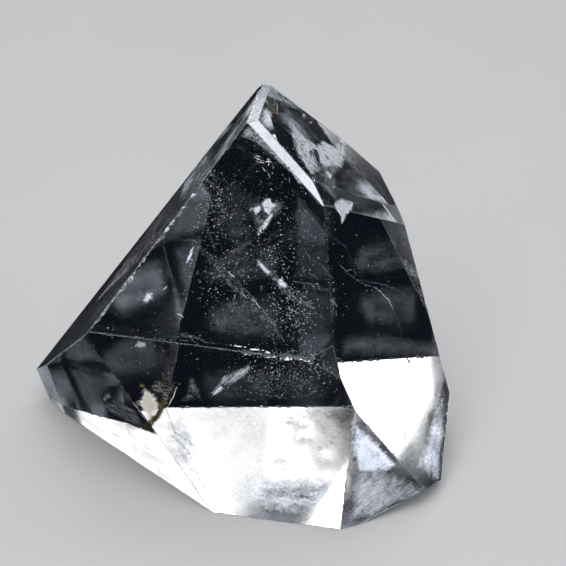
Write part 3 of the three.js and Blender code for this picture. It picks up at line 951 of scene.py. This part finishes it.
@dataclass
class Flaws:
    """The cracks, veils, flakes and stain inside the stone. Each film has a seed of its own."""

    first_seed: float = 1.3
    seed_step: float = 3.7
    films: tuple = (
        # The bright fracture that the front slope shows, its fibres and its haze.
        Film(
            "fracture_left",
            ((247, 211), (250, 206), (255, 206), (259, 202), (263, 206), (261, 213), (256, 217),
             (251, 213)),
            6.0, 6.3, FilmFinish(FLAKE, 1.4, 1.4, 2.2, 0.38, 0.52, 0.55), 0.4,
        ),
        Film(
            "fracture_right",
            ((260, 204), (264, 198), (270, 196), (274, 201), (280, 204), (274, 211), (269, 218),
             (263, 213)),
            6.4, 6.8, FilmFinish(FLAKE, 1.4, 1.4, 2.2, 0.38, 0.52, 0.55), 0.4,
        ),
        Film(
            "fracture_fibres",
            ((255, 238), (258, 228), (265, 217), (272, 210), (275, 214), (268, 227), (261, 236)),
            7.2, 6.6, FilmFinish(FLAKE, 1.1, 0.45, 4.5, 0.46, 0.58, 0.4), 0.25,
        ),
        Film(
            "fracture_haze",
            ((243, 205), (252, 196), (266, 194), (286, 198), (290, 206), (276, 222), (262, 240), (252, 240),
             (250, 220)),
            7.5, 7.0, FilmFinish(VEIL, 0.5, 0.9, 1.3, 0.44, 0.66, 0.10), 0.9,
        ),
        # The same fracture as the right slope shows it.
        Film(
            "fracture_side",
            ((341, 227), (339, 215), (334, 209), (332, 203), (338, 197), (345, 198), (355, 202), (353, 211),
             (347, 216), (344, 224)),
            0.6, 0.5, FilmFinish(FLAKE, 1.2, 1.1, 1.1, 0.36, 0.52, 0.40), 0.4, 0.05,
        ),
        # The angular clouds behind the upper right face.
        Film(
            "crest_cloud_left",
            ((286, 114), (296, 127), (305, 135), (314, 141), (319, 147), (320, 160), (322, 172), (313, 177),
             (305, 168), (297, 158), (293, 146), (288, 132)),
            2.0, 3.2, FilmFinish(FLAKE, 1.15, 0.9, 1.6, 0.39, 0.58, 0.38), 0.7, 0.3,
        ),
        Film(
            "crest_cloud_right",
            ((311, 146), (321, 138), (331, 144), (338, 139), (346, 145), (348, 157), (344, 170), (334, 168),
             (326, 170), (319, 164), (315, 155)),
            2.6, 3.4, FilmFinish(FLAKE, 1.15, 1.1, 1.1, 0.39, 0.56, 0.42), 0.7, 0.3,
        ),
        # painted shade: a near-black film that darkens the dark triangle among the crest clouds
        Film(
            "crest_painted_shade",
            ((311, 147), (318, 149), (321, 158), (319, 171), (315, 161)),
            1.6, 1.8, FilmFinish(FilmKind.SHADE, 0.9, 1.0, 1.0, 0.34, 0.54, 0.0), 0.3,
        ),
        Film(
            "crest_cloud_low",
            ((314, 168), (320, 161), (342, 163), (340, 173), (332, 180), (322, 178)),
            3.0, 3.4, FilmFinish(VEIL, 0.6, 1.2, 1.2, 0.40, 0.62, 0.10), 0.5,
        ),
        Film(
            "crest_spot",
            ((325, 170), (329, 171), (333, 178), (330, 180), (327, 176)),
            2.6, 2.8, FilmFinish(FLAKE, 1.2, 1.5, 1.5, 0.36, 0.54, 0.4), 0.2,
        ),
        Film(
            "crest_arm",
            ((278, 101), (294, 112), (312, 128), (324, 142), (314, 143), (298, 130), (284, 116)),
            2.2, 2.8, FilmFinish(VEIL, 0.45, 0.4, 3.0, 0.46, 0.64, 0.05), 0.5,
        ),
        Film(
            "crest_dust",
            ((322, 128), (348, 140), (372, 166), (392, 202), (376, 205), (350, 192), (334, 178),
             (346, 160)),
            2.5, 3.5, FilmFinish(VEIL, 0.22, 1.6, 1.6, 0.46, 0.66, 0.05), 0.9,
        ),
        # Frosted spots of the surface: along the crest, and below the ground strip's upper end.
        Film(
            "crest_frost",
            ((264, 83), (277, 86), (292, 95), (308, 105), (304, 112), (286, 104), (271, 98), (266, 96)),
            0.10, 0.10, FilmFinish(FLAKE, 0.9, 1.2, 1.8, 0.36, 0.56, 0.10), 0.3, 0.02,
        ),
        Film(
            "strip_fringe",
            ((236, 142), (243, 128), (252, 124), (262, 132), (280, 152), (302, 178), (298, 182), (284, 170),
             (266, 154), (254, 144), (244, 140)),
            0.10, 0.10, FilmFinish(FLAKE, 1.0, 2.2, 2.2, 0.40, 0.56, 0.10), 0.5, 0.02,
        ),
        # The bright oval flake, which three faces show.
        Film(
            "oval_flake",
            ((140, 302), (143, 294), (149, 289), (155, 291), (154, 299), (147, 306)),
            3.0, 3.2, FilmFinish(FLAKE, 1.4, 0.8, 0.8, 0.30, 0.50, 0.6), 0.55,
        ),
        Film(
            "oval_halo",
            ((130, 303), (137, 288), (150, 284), (160, 290), (158, 303), (146, 312)),
            3.4, 3.4, FilmFinish(VEIL, 0.35, 1.0, 1.0, 0.36, 0.66, 0.08), 1.0,
        ),
        Film(
            "oval_low",
            ((132, 344), (138, 340), (148, 341), (148, 348), (138, 350)),
            1.2, 1.2, FilmFinish(FLAKE, 0.9, 1.0, 1.0, 0.34, 0.56, 0.25), 0.4,
        ),
        Film(
            "oval_foot",
            ((101, 399), (104, 392), (110, 392), (113, 398), (107, 403)),
            1.2, 1.2, FilmFinish(FLAKE, 0.7, 1.0, 1.0, 0.34, 0.56, 0.15), 0.5,
        ),
        # The long healed crack across the front slope, and the haze on both sides of it.
        Film(
            "long_veil",
            ((168, 220), (188, 232), (206, 246), (224, 264), (243, 282), (264, 304), (290, 334), (278, 343),
             (250, 316), (228, 292), (210, 268), (193, 252), (174, 237)),
            7.0, 9.0, FilmFinish(VEIL, 0.60, 1.6, 2.8, 0.46, 0.64, 0.12), 0.9,
        ),
        Film(
            "lower_haze",
            ((192, 338), (206, 312), (222, 292), (242, 284), (266, 308), (288, 330), (322, 350), (270, 349),
             (236, 345)),
            8.0, 9.0, FilmFinish(VEIL, 0.26, 0.7, 1.6, 0.40, 0.70, 0.05), 2.2,
        ),
        Film(
            "upper_veil",
            ((208, 266), (224, 252), (240, 241), (258, 226), (254, 246), (240, 256), (224, 262)),
            6.0, 6.6, FilmFinish(VEIL, 0.45, 0.5, 1.6, 0.42, 0.66, 0.08), 0.6,
        ),
        Film(
            "left_veil",
            ((196, 190), (206, 196), (211, 226), (220, 256), (212, 252), (203, 230)),
            4.0, 5.5, FilmFinish(VEIL, 0.40, 0.5, 2.2, 0.44, 0.64, 0.08), 0.5,
        ),
        Film(
            "middle_haze",
            ((202, 186), (236, 170), (266, 196), (268, 242), (240, 268), (214, 256), (202, 226)),
            9.0, 10.0, FilmFinish(VEIL, 0.15, 0.8, 0.8, 0.42, 0.70, 0.05), 2.2,
        ),
        Film(
            "right_haze",
            ((256, 236), (300, 194), (322, 210), (324, 244), (300, 256), (272, 256)),
            4.0, 6.0, FilmFinish(VEIL, 0.12, 0.5, 0.9, 0.40, 0.72, 0.05), 1.8,
        ),
        Film(
            "wedge_flake",
            ((254, 256), (261, 260), (268, 266), (275, 273), (267, 276), (260, 270), (256, 263)),
            6.0, 6.4, FilmFinish(FLAKE, 1.4, 0.8, 2.2, 0.36, 0.52, 0.5), 0.4,
        ),
        Film(
            "wedge_star",
            ((275, 281), (282, 275), (286, 281), (291, 284), (284, 290), (279, 287)),
            6.6, 6.6, FilmFinish(FLAKE, 1.3, 1.8, 1.8, 0.38, 0.54, 0.5), 0.4,
        ),
        Film(
            "wedge_trail",
            ((262, 262), (276, 270), (290, 285), (302, 296), (318, 306), (312, 312), (296, 304), (280, 294),
             (268, 278)),
            6.6, 7.4, FilmFinish(VEIL, 0.65, 0.7, 2.0, 0.45, 0.62, 0.15), 0.5,
        ),
        Film(
            "blue_flake",
            ((185, 265), (187, 257), (191, 249), (195, 248), (193, 255), (189, 263)),
            5.0, 5.2, FilmFinish(FilmKind.BLUE_FLAKE, 1.4, 0.8, 1.8, 0.38, 0.54, 0.6), 0.22,
        ),
        Film(
            "left_cloud",
            ((158, 341), (166, 334), (182, 329), (197, 333), (212, 341), (206, 345), (184, 344)),
            2.0, 2.2, FilmFinish(VEIL, 0.70, 1.5, 1.9, 0.43, 0.60, 0.15), 0.8,
        ),
        # What lies behind the low front face.
        Film(
            "low_wisp",
            ((202, 402), (210, 392), (217, 384), (222, 375), (233, 370), (243, 367), (250, 360), (252, 369),
             (246, 377), (235, 384), (225, 391), (214, 397)),
            3.0, 3.6, FilmFinish(VEIL, 0.95, 0.35, 2.0, 0.42, 0.58, 0.3), 0.35,
        ),
        Film(
            "low_wisp_core",
            ((211, 397), (215, 389), (220, 385), (226, 386), (221, 392), (215, 396)),
            2.8, 3.0, FilmFinish(FLAKE, 1.2, 0.8, 2.2, 0.40, 0.55, 0.5), 0.25,
        ),
        Film(
            "low_cloud",
            ((176, 403), (184, 394), (188, 372), (196, 378), (202, 392), (204, 402)),
            2.5, 3.0, FilmFinish(VEIL, 0.50, 1.0, 1.6, 0.44, 0.62, 0.1), 0.5,
        ),
        Film(
            "low_haze",
            ((196, 402), (236, 368), (300, 358), (340, 370), (346, 402), (300, 405), (250, 404)),
            5.0, 5.5, FilmFinish(VEIL, 0.18, 1.0, 1.0, 0.42, 0.68, 0.05), 1.6,
        ),
        # painted light: the next three veils glow strongly and brighten the low faces where the base's
        # thrown-back light shows, over their real cloudy pattern
        Film(
            "low_white_glow",
            ((228, 488), (250, 472), (290, 468), (332, 474), (340, 500), (334, 522), (290, 518),
             (244, 508)),
            0.4, 0.6, FilmFinish(VEIL, 0.62, 0.5, 0.9, 0.36, 0.66, 0.95), 1.6,
        ),
        Film(
            "corner_smoke_glow",
            ((346, 524), (350, 470), (366, 452), (396, 470), (438, 488), (400, 506), (372, 520)),
            0.4, 0.6, FilmFinish(VEIL, 0.60, 0.4, 0.8, 0.28, 0.72, 0.60), 1.2,
        ),
        Film(
            "side_smoke_glow",
            ((446, 388), (446, 440), (440, 486), (412, 470), (424, 440), (434, 404)),
            0.4, 0.6, FilmFinish(VEIL, 0.75, 0.5, 0.8, 0.26, 0.70, 0.85), 1.2,
        ),
        Film(
            "wedge_smoke",
            ((162, 420), (184, 412), (196, 436), (206, 470), (216, 506), (204, 503), (188, 474),
             (172, 446)),
            0.6, 0.8, FilmFinish(VEIL, 0.50, 0.5, 1.0, 0.32, 0.66, 0.30), 0.8,
        ),
        Film(
            "foot_mist",
            ((100, 402), (112, 398), (124, 402), (138, 410), (146, 428), (128, 424), (108, 413)),
            0.6, 0.9, FilmFinish(VEIL, 0.42, 0.6, 1.6, 0.40, 0.68, 0.20), 0.8,
        ),
        # Haze above the light that the base throws back.
        Film(
            "foot_smoke",
            ((333, 366), (332, 338), (345, 328), (372, 324), (404, 330), (432, 334), (443, 346),
             (444, 366)),
            1.4, 1.4, FilmFinish(VEIL, 0.42, 0.5, 0.9, 0.20, 0.70, 0.08, 0.3), 2.2,
        ),
        # painted light: this veil glows strongly, standing for the light that the base throws back into this
        # corner
        Film(
            "corner_glow",
            ((352, 406), (360, 422), (376, 438), (400, 464), (386, 474), (358, 474), (347, 452),
             (349, 424)),
            0.8, 1.2, FilmFinish(VEIL, 0.95, 0.4, 0.7, 0.20, 0.62, 0.90), 0.8,
        ),
        # The stained flaw behind the ridge between the low front and the lower left face.
        Film(
            "stain_core",
            ((145, 384), (151, 390), (158, 396), (162, 404), (160, 411), (154, 419), (147, 423), (141, 416),
             (136, 409), (130, 403), (137, 399), (140, 391)),
            1.2, 1.6, FilmFinish(FilmKind.CREAM, 1.3, 0.8, 1.2, 0.26, 0.50, 0.45), 0.8,
        ),
        Film(
            "stain_fan",
            ((144, 388), (156, 376), (168, 380), (181, 380), (174, 398), (163, 412), (156, 400)),
            1.4, 1.8, FilmFinish(FilmKind.OLIVE, 0.75, 0.9, 3.2, 0.45, 0.60, 0.15), 0.8,
        ),
        Film(
            "stain_rust",
            ((146, 435), (141, 424), (148, 417), (154, 411), (157, 403), (163, 399), (171, 401), (165, 412),
             (158, 423)),
            0.5, 0.9, FilmFinish(FilmKind.RUST, 1.2, 1.8, 2.2, 0.40, 0.54, 0.0), 0.4,
        ),
        Film(
            "stain_yellow",
            ((135, 386), (141, 381), (147, 385), (144, 390)),
            1.6, 1.6, FilmFinish(FilmKind.RUST, 0.9, 1.0, 1.0, 0.30, 0.52, 0.05), 0.35,
        ),
        Film(
            "stain_brown",
            ((160, 372), (166, 369), (169, 376), (166, 384), (161, 382)),
            2.0, 2.0, FilmFinish(FilmKind.RUST, 0.7, 1.0, 1.0, 0.34, 0.56, 0.0), 0.35,
        ),
    )

    def build(self) -> None:
        """Builds every film."""
        for number, film in enumerate(self.films):
            film.build(self.seed_step * number + self.first_seed)


class LineKind(Enum):
    """What a hairline looks like: its colour, cover and glow."""

    BRIGHT = ((0.95, 0.97, 1.0, 1), 1.0, 0.9)
    PALE = ((0.72, 0.78, 0.88, 1), 0.6, 0.15)
    FAINT = ((0.50, 0.58, 0.72, 1), 0.35, 0.05)
    DARK = ((0.10, 0.12, 0.16, 1), 0.75, 0.0)
    BROWN = ((0.20, 0.12, 0.03, 1), 0.9, 0.0)

    def material(self) -> bpy.types.Material:
        """Builds the kind's material.

        Returns:
            A material that comes and goes a little along a line.
        """
        colour, cover, glow = self.value
        s = Shader(f"hairline_{self.name.lower()}")
        change = s.cloud(s.millimetres(), 1.8, 3, 0.6, 3.0)
        shaded = s.blend_colours(change, colour, tuple(0.7 * part for part in colour[:3]) + (1,))
        inputs = {
            "Base Color": shaded,
            "Roughness": 0.5,
            "Alpha": (s.step(change, 0.30, 0.60, 0.35, 1.0) * cover).at_most(1.0),
            "Emission Color": shaded,
            "Emission Strength": glow,
        }
        return s.surface(s.node("ShaderNodeBsdfPrincipled", {}, inputs))


@dataclass(frozen=True)
class Hairline:
    """A line inside the stone, at one depth under marks of the photograph. gaps is the share left out."""

    marks: tuple
    depth: float = 5.0
    width: float = 0.06
    gaps: float = 0.2


@dataclass
class Hairlines:
    """The fine lines in the stone, by kind: edges of cracks, growth lines and scratches."""

    step: float = 0.22
    wander: float = 0.035
    end_width: float = 0.25
    clearance: float = 0.6
    swell: tuple = (0.6, 1.3)
    sides: int = 5
    seed: int = 23
    lines: dict = field(
        default_factory=lambda: {
            LineKind.BRIGHT: (
                Hairline(((252, 154), (260, 157)), 4.0, 0.07, 0.1),
                Hairline(((254, 157), (263, 161)), 4.1, 0.06, 0.1),
                Hairline(((256, 161), (264, 163)), 4.2, 0.05, 0.1),
                Hairline(((265, 162), (272, 162)), 4.2, 0.07, 0.0),
                Hairline(((269, 158), (268, 166)), 4.2, 0.06, 0.0),
                Hairline(((262, 167), (266, 171)), 4.4, 0.05, 0.0),
                Hairline(((268, 173), (270, 178)), 4.4, 0.05, 0.0),
                Hairline(((273, 213), (268, 222), (261, 233)), 12.0, 0.16, 0.15),
                Hairline(((248, 295), (256, 303), (262, 309)), 8.2, 0.06, 0.5),
                Hairline(((227, 271), (238, 280)), 8.2, 0.05, 0.6),
                Hairline(((281, 283), (286, 287)), 6.3, 0.14, 0.0),
                Hairline(((177, 313), (183, 317)), 5.0, 0.06, 0.0),
                Hairline(((163, 290), (167, 286)), 5.0, 0.06, 0.0),
                Hairline(((188, 259), (191, 252), (194, 247)), 9.0, 0.10, 0.0),
                Hairline(((378, 289), (389, 300), (393, 309)), 5.4, 0.06, 0.35),
                Hairline(((179, 383), (172, 399), (165, 412)), 1.2, 0.06, 0.2),
                Hairline(((377, 447), (383, 455), (390, 464)), 1.5, 0.28, 0.15),
                Hairline(((197, 178), (206, 163), (214, 148)), 0.3, 0.10, 0.15),
                Hairline(((195, 170), (203, 157), (209, 148)), 0.3, 0.07, 0.3),
                Hairline(((230, 345), (246, 347)), 0.12, 0.13, 0.1),
                Hairline(((250, 349), (259, 350)), 0.12, 0.16, 0.1),
                Hairline(((262, 350), (270, 353)), 0.12, 0.14, 0.1),
            ),
            LineKind.PALE: (
                Hairline(((270, 213), (264, 224), (258, 232)), 12.2, 0.14, 0.3),
                Hairline(((172, 226), (190, 237), (205, 250), (224, 268), (240, 284)), 8.0, 0.09, 0.45),
                Hairline(((240, 284), (250, 294), (262, 308), (272, 322), (281, 338)), 8.5, 0.10, 0.35),
                Hairline(((258, 259), (270, 274), (284, 285), (300, 293), (313, 304)), 6.4, 0.09, 0.3),
                Hairline(((305, 252), (314, 262)), 4.0, 0.07, 0.1),
                Hairline(((308, 272), (319, 279)), 4.0, 0.07, 0.1),
                Hairline(((303, 267), (304, 276)), 4.0, 0.05, 0.1),
                Hairline(((337, 262), (346, 271), (353, 269), (357, 276)), 5.0, 0.08, 0.2),
                Hairline(((345, 272), (362, 283), (376, 288), (388, 300), (394, 312)), 5.5, 0.08, 0.15),
                Hairline(((177, 192), (193, 168), (205, 150)), 0.3, 0.08, 0.3),
                Hairline(((82, 318), (88, 311), (93, 303)), 0.3, 0.16, 0.3),
                Hairline(((276, 112), (285, 126), (298, 148), (309, 163)), 2.0, 0.08, 0.35),
                Hairline(((290, 118), (303, 136), (322, 150), (344, 160)), 2.2, 0.08, 0.4),
                Hairline(((317, 111), (320, 120), (326, 131)), 1.0, 0.10, 0.3),
                Hairline(((100, 335), (150, 338), (200, 342), (228, 345)), 0.12, 0.07, 0.55),
                Hairline(((271, 352), (300, 357), (334, 363)), 0.12, 0.07, 0.5),
            ),
            LineKind.FAINT: (
                Hairline(((290, 281), (312, 284), (332, 284)), 3.0, 0.20, 0.1),
                Hairline(((296, 288), (334, 288)), 3.0, 0.16, 0.2),
                Hairline(((394, 312), (400, 326), (404, 345)), 6.0, 0.10, 0.3),
                Hairline(((356, 279), (385, 285), (400, 291), (413, 301)), 5.0, 0.18, 0.1),
                Hairline(((330, 235), (345, 246), (352, 262)), 4.0, 0.12, 0.3),
                Hairline(((170, 434), (182, 444), (190, 455)), 1.5, 0.35, 0.2),
                Hairline(((130, 440), (150, 455), (160, 467)), 0.8, 0.14, 0.3),
                Hairline(((104, 428), (128, 443), (141, 458)), 0.8, 0.16, 0.3),
                Hairline(((70, 335), (110, 275), (150, 222)), 0.3, 0.10, 0.4),
                Hairline(((78, 330), (120, 270), (170, 205)), 0.3, 0.08, 0.5),
                Hairline(((321, 184), (334, 184), (348, 183)), 1.7, 0.20, 0.1),
                Hairline(((325, 206), (327, 240), (330, 290), (335, 355)), 0.12, 0.10, 0.05),
            ),
            LineKind.DARK: (
                Hairline(((407, 352), (411, 364), (413, 376)), 1.6, 0.12, 0.3),
                Hairline(((404, 432), (406, 440)), 1.5, 0.22, 0.0),
                Hairline(((448, 417), (445, 424)), 0.5, 0.24, 0.0),
                Hairline(((172, 430), (184, 438), (195, 446)), 1.5, 0.16, 0.35),
                Hairline(((370, 474), (378, 470), (386, 463)), 1.0, 0.14, 0.4),
                Hairline(((336, 476), (345, 478)), 1.0, 0.12, 0.3),
                # painted shade: the next two dark lines edge the dark triangle among the crest clouds, with
                # the dark film there
                Hairline(((312, 148), (314, 157), (318, 169)), 1.6, 0.16, 0.0),
                Hairline(((312, 149), (317, 151), (318, 158)), 1.6, 0.10, 0.2),
                Hairline(((340, 142), (341, 151)), 1.6, 0.14, 0.0),
                Hairline(((296, 127), (305, 136), (313, 142)), 1.7, 0.16, 0.1),
                Hairline(((352, 432), (347, 470), (343, 518)), 0.15, 0.12, 0.1),
            ),
            LineKind.BROWN: (
                Hairline(((404, 351), (409, 362), (412, 380)), 2.0, 0.22, 0.15),
                Hairline(((147, 431), (152, 424), (158, 415), (166, 406)), 0.5, 0.16, 0.1),
                Hairline(((146, 427), (154, 419), (161, 408)), 0.6, 0.10, 0.3),
            ),
        }
    )

    def build(self) -> None:
        """Builds one piece for each kind of line."""
        rng = Random(self.seed)
        for kind, lines in self.lines.items():
            bm = bmesh.new()
            for line in lines:
                self._draw(bm, line, rng)
            mount_piece(finish_piece(bm, f"hairlines_{kind.name.lower()}", kind.material()))

    def _draw(self, bm: bmesh.types.BMesh, line: Hairline, rng: Random) -> None:
        """Adds a line as a row of slim cones that taper towards its ends.

        Args:
            bm: the mesh that the line joins.
            line: the line.
            rng: where its wander and its gaps come from.
        """
        marks = [VIEW.inside(*mark, line.depth) for mark in line.marks]
        places = [marks[0]]
        for first, second in zip(marks, marks[1:]):
            pieces = max(1, round((second - first).length / self.step))
            for index in range(1, pieces + 1):
                shift = Vector([rng.gauss(0, self.wander) for _ in range(3)])
                places.append(first.lerp(second, index / pieces) + shift)
        count = len(places) - 1
        swells = [math.sin(math.pi * (index + 0.5) / (count + 1)) for index in range(count + 1)]
        widths = [line.width / 2 * (self.end_width + (1 - self.end_width) * swell) for swell in swells]
        for index in range(count):
            if rng.random() < line.gaps or not within_stone(places[index], line.width * self.clearance):
                continue
            run = places[index + 1] - places[index]
            turn = run.to_track_quat("Z", "Y").to_matrix().to_4x4()
            fit = Matrix.Translation(places[index] + run / 2) @ turn
            swell = rng.uniform(*self.swell)
            bmesh.ops.create_cone(
                bm,
                cap_ends=True,
                segments=self.sides,
                radius1=widths[index] * swell,
                radius2=widths[index + 1] * swell,
                depth=run.length,
                matrix=fit,
            )


@dataclass(frozen=True)
class SpeckCloud:
    """A scatter of tiny specks, seen through a patch of the stone's front."""

    left: float
    top: float
    right: float
    bottom: float
    near: float
    far: float
    count: int
    smallest: float = 0.014
    largest: float = 0.065


@dataclass
class Specks:
    """All the specks in the stone, as one piece. clearance is their least depth under its faces."""

    clearance: float = 0.2
    squash: tuple = (0.6, 1.3)
    seed: int = 11
    clouds: tuple = (
        SpeckCloud(225, 150, 325, 350, 2.0, 9.0, 700),
        SpeckCloud(190, 165, 245, 240, 1.5, 8.0, 420),
        SpeckCloud(180, 200, 260, 340, 3.0, 10.0, 500),
        SpeckCloud(262, 275, 322, 350, 1.0, 8.0, 700),
        SpeckCloud(252, 235, 295, 280, 1.0, 8.0, 60, 0.03, 0.08),
        SpeckCloud(220, 340, 345, 405, 0.6, 6.0, 900),
        SpeckCloud(245, 120, 300, 200, 1.0, 6.0, 80),
        SpeckCloud(330, 230, 400, 350, 2.0, 9.0, 80),
        SpeckCloud(100, 300, 220, 400, 3.0, 12.0, 80),
    )

    def build(self) -> bpy.types.Object:
        """Scatters the specks.

        Returns:
            The finished piece.
        """
        rng = Random(self.seed)
        bm = bmesh.new()
        for cloud in self.clouds:
            for _ in range(cloud.count):
                across = rng.triangular(cloud.left, cloud.right)
                down = rng.triangular(cloud.top, cloud.bottom)
                place = VIEW.inside(across, down, rng.uniform(cloud.near, cloud.far))
                if not within_stone(place, self.clearance):
                    continue
                radius = cloud.smallest + (cloud.largest - cloud.smallest) * rng.random() ** 3
                squash = Matrix.Diagonal((*(rng.uniform(*self.squash) for _ in range(3)), 1))
                fit = Matrix.Translation(place) @ squash
                bmesh.ops.create_icosphere(bm, subdivisions=1, radius=radius, matrix=fit)
        piece = finish_piece(bm, "specks", SpeckFinish().material())
        mount_piece(piece)
        return piece


@dataclass(frozen=True)
class Softbox:
    """One soft studio light, hung in a direction from the stone, in degrees. Its lengths are metres."""

    name: str
    facing: float
    height: float
    wide: float
    high: float
    watts: float
    seen_in_stone: bool = True
    distance: float = 0.6

    def build(self) -> None:
        """Hangs the light."""
        lamp = bpy.data.lights.new(self.name, "AREA")
        lamp.shape = "RECTANGLE"
        lamp.size, lamp.size_y = self.wide, self.high
        lamp.energy = self.watts
        light = bpy.data.objects.new(self.name, lamp)
        aim = HEART * MM
        away = Facet(self.facing, self.height, 0).outward
        light.location = aim + away * self.distance
        light.rotation_euler = (-away).to_track_quat("-Z", "Y").to_euler()
        light.visible_camera = False
        light.visible_transmission = light.visible_glossy = self.seen_in_stone
        bpy.context.scene.collection.objects.link(light)


@dataclass
class Studio:
    """The floor, the lights and the camera. Its lengths are metres."""

    floor_radius: float = 0.9
    wall_height: float = 0.9
    sweep_radius: float = 0.35
    floor_gap: float = 0.00003
    sweep_steps: int = 12
    round_steps: int = 64
    sky: tuple = (0.0035, 0.0045, 0.0075, 1)
    lights: tuple = (
        Softbox("ceiling", 90, 89, 0.80, 0.80, 3.2, False),
        Softbox("overhead", -105, 80, 0.46, 0.28, 1.40),
        Softbox("overhead_back", 105, 60, 0.18, 0.14, 0.20),
        Softbox("front_left", -142, 49, 0.16, 0.16, 0.30),
        Softbox("front_right", -61, 58, 0.22, 0.12, 0.095),
        Softbox("front", -76, 46, 0.12, 0.09, 0.050),
        Softbox("low_right", -21, 32, 0.34, 0.09, 0.20),
        Softbox("back_right", 37, 50, 0.13, 0.16, 0.16),
    )

    def build(self) -> None:
        """Sets the stone's surroundings."""
        self._floor()
        for light in self.lights:
            light.build()
        self._sky()
        self._camera()
        self._light_paths()

    def _floor(self) -> None:
        """A round floor that sweeps up into a wall.

        Seen through the stone it is left out, so that the stone's clear parts show dark surroundings.
        """
        bm = bmesh.new()
        flat = self.floor_radius - self.sweep_radius
        profile = [Vector((0, 0, -self.floor_gap)), Vector((flat, 0, -self.floor_gap))]
        for step in range(1, self.sweep_steps + 1):
            angle = math.radians(90 * step / self.sweep_steps)
            rise = self.sweep_radius * (1 - math.cos(angle))
            profile.append(Vector((flat + self.sweep_radius * math.sin(angle), 0, rise)))
        profile.append(Vector((self.floor_radius, 0, self.wall_height)))
        verts = [bm.verts.new(point) for point in profile]
        edges = [bm.edges.new(pair) for pair in zip(verts, verts[1:])]
        bmesh.ops.spin(
            bm,
            geom=[*verts, *edges],
            cent=(0, 0, 0),
            axis=(0, 0, 1),
            angle=2 * math.pi,
            steps=self.round_steps,
            use_merge=True,
        )
        bmesh.ops.remove_doubles(bm, verts=bm.verts, dist=1e-6)
        bmesh.ops.recalc_face_normals(bm, faces=bm.faces)
        bmesh.ops.reverse_faces(bm, faces=bm.faces)
        for face in bm.faces:
            face.smooth = True
        bmesh.ops.transform(bm, matrix=Matrix.Scale(1 / MM, 4), verts=bm.verts)
        floor = finish_piece(bm, "studio_floor", FloorFinish().material())
        floor.visible_transmission = False
        floor.visible_glossy = False

    def _sky(self) -> None:
        """Dark surroundings beyond the floor and the lights."""
        world = bpy.data.worlds.new("surroundings")
        world.use_nodes = True
        world.node_tree.nodes["Background"].inputs["Color"].default_value = self.sky
        bpy.context.scene.world = world

    @staticmethod
    def _camera() -> None:
        """The camera at the photograph's place."""
        data = bpy.data.cameras.new("camera")
        data.sensor_width = VIEW.sensor
        data.lens = VIEW.lens
        data.clip_start, data.clip_end = 0.005, 5
        camera = bpy.data.objects.new("camera", data)
        camera.location = VIEW.place * MM
        camera.rotation_euler = (math.radians(90 - VIEW.elevation), 0, 0)
        bpy.context.scene.collection.objects.link(camera)
        bpy.context.scene.camera = camera

    @staticmethod
    def _light_paths() -> None:
        """Lets light turn often enough inside the stone, and shows its tones as they are."""
        scene = bpy.context.scene
        scene.cycles.max_bounces = 24
        scene.cycles.transmission_bounces = 20
        scene.cycles.glossy_bounces = 8
        scene.cycles.diffuse_bounces = 4
        scene.cycles.transparent_max_bounces = 24
        scene.view_settings.view_transform = "Standard"


def main() -> None:
    """Builds the stone, what is in it and the studio, and notes the sizes."""
    logging.basicConfig(level=logging.INFO, format="%(name)s: %(message)s")
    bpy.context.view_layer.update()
    Stone().build()
    Specks().build()
    Flaws().build()
    Hairlines().build()
    Studio().build()


if __name__ == "__main__":
    main()
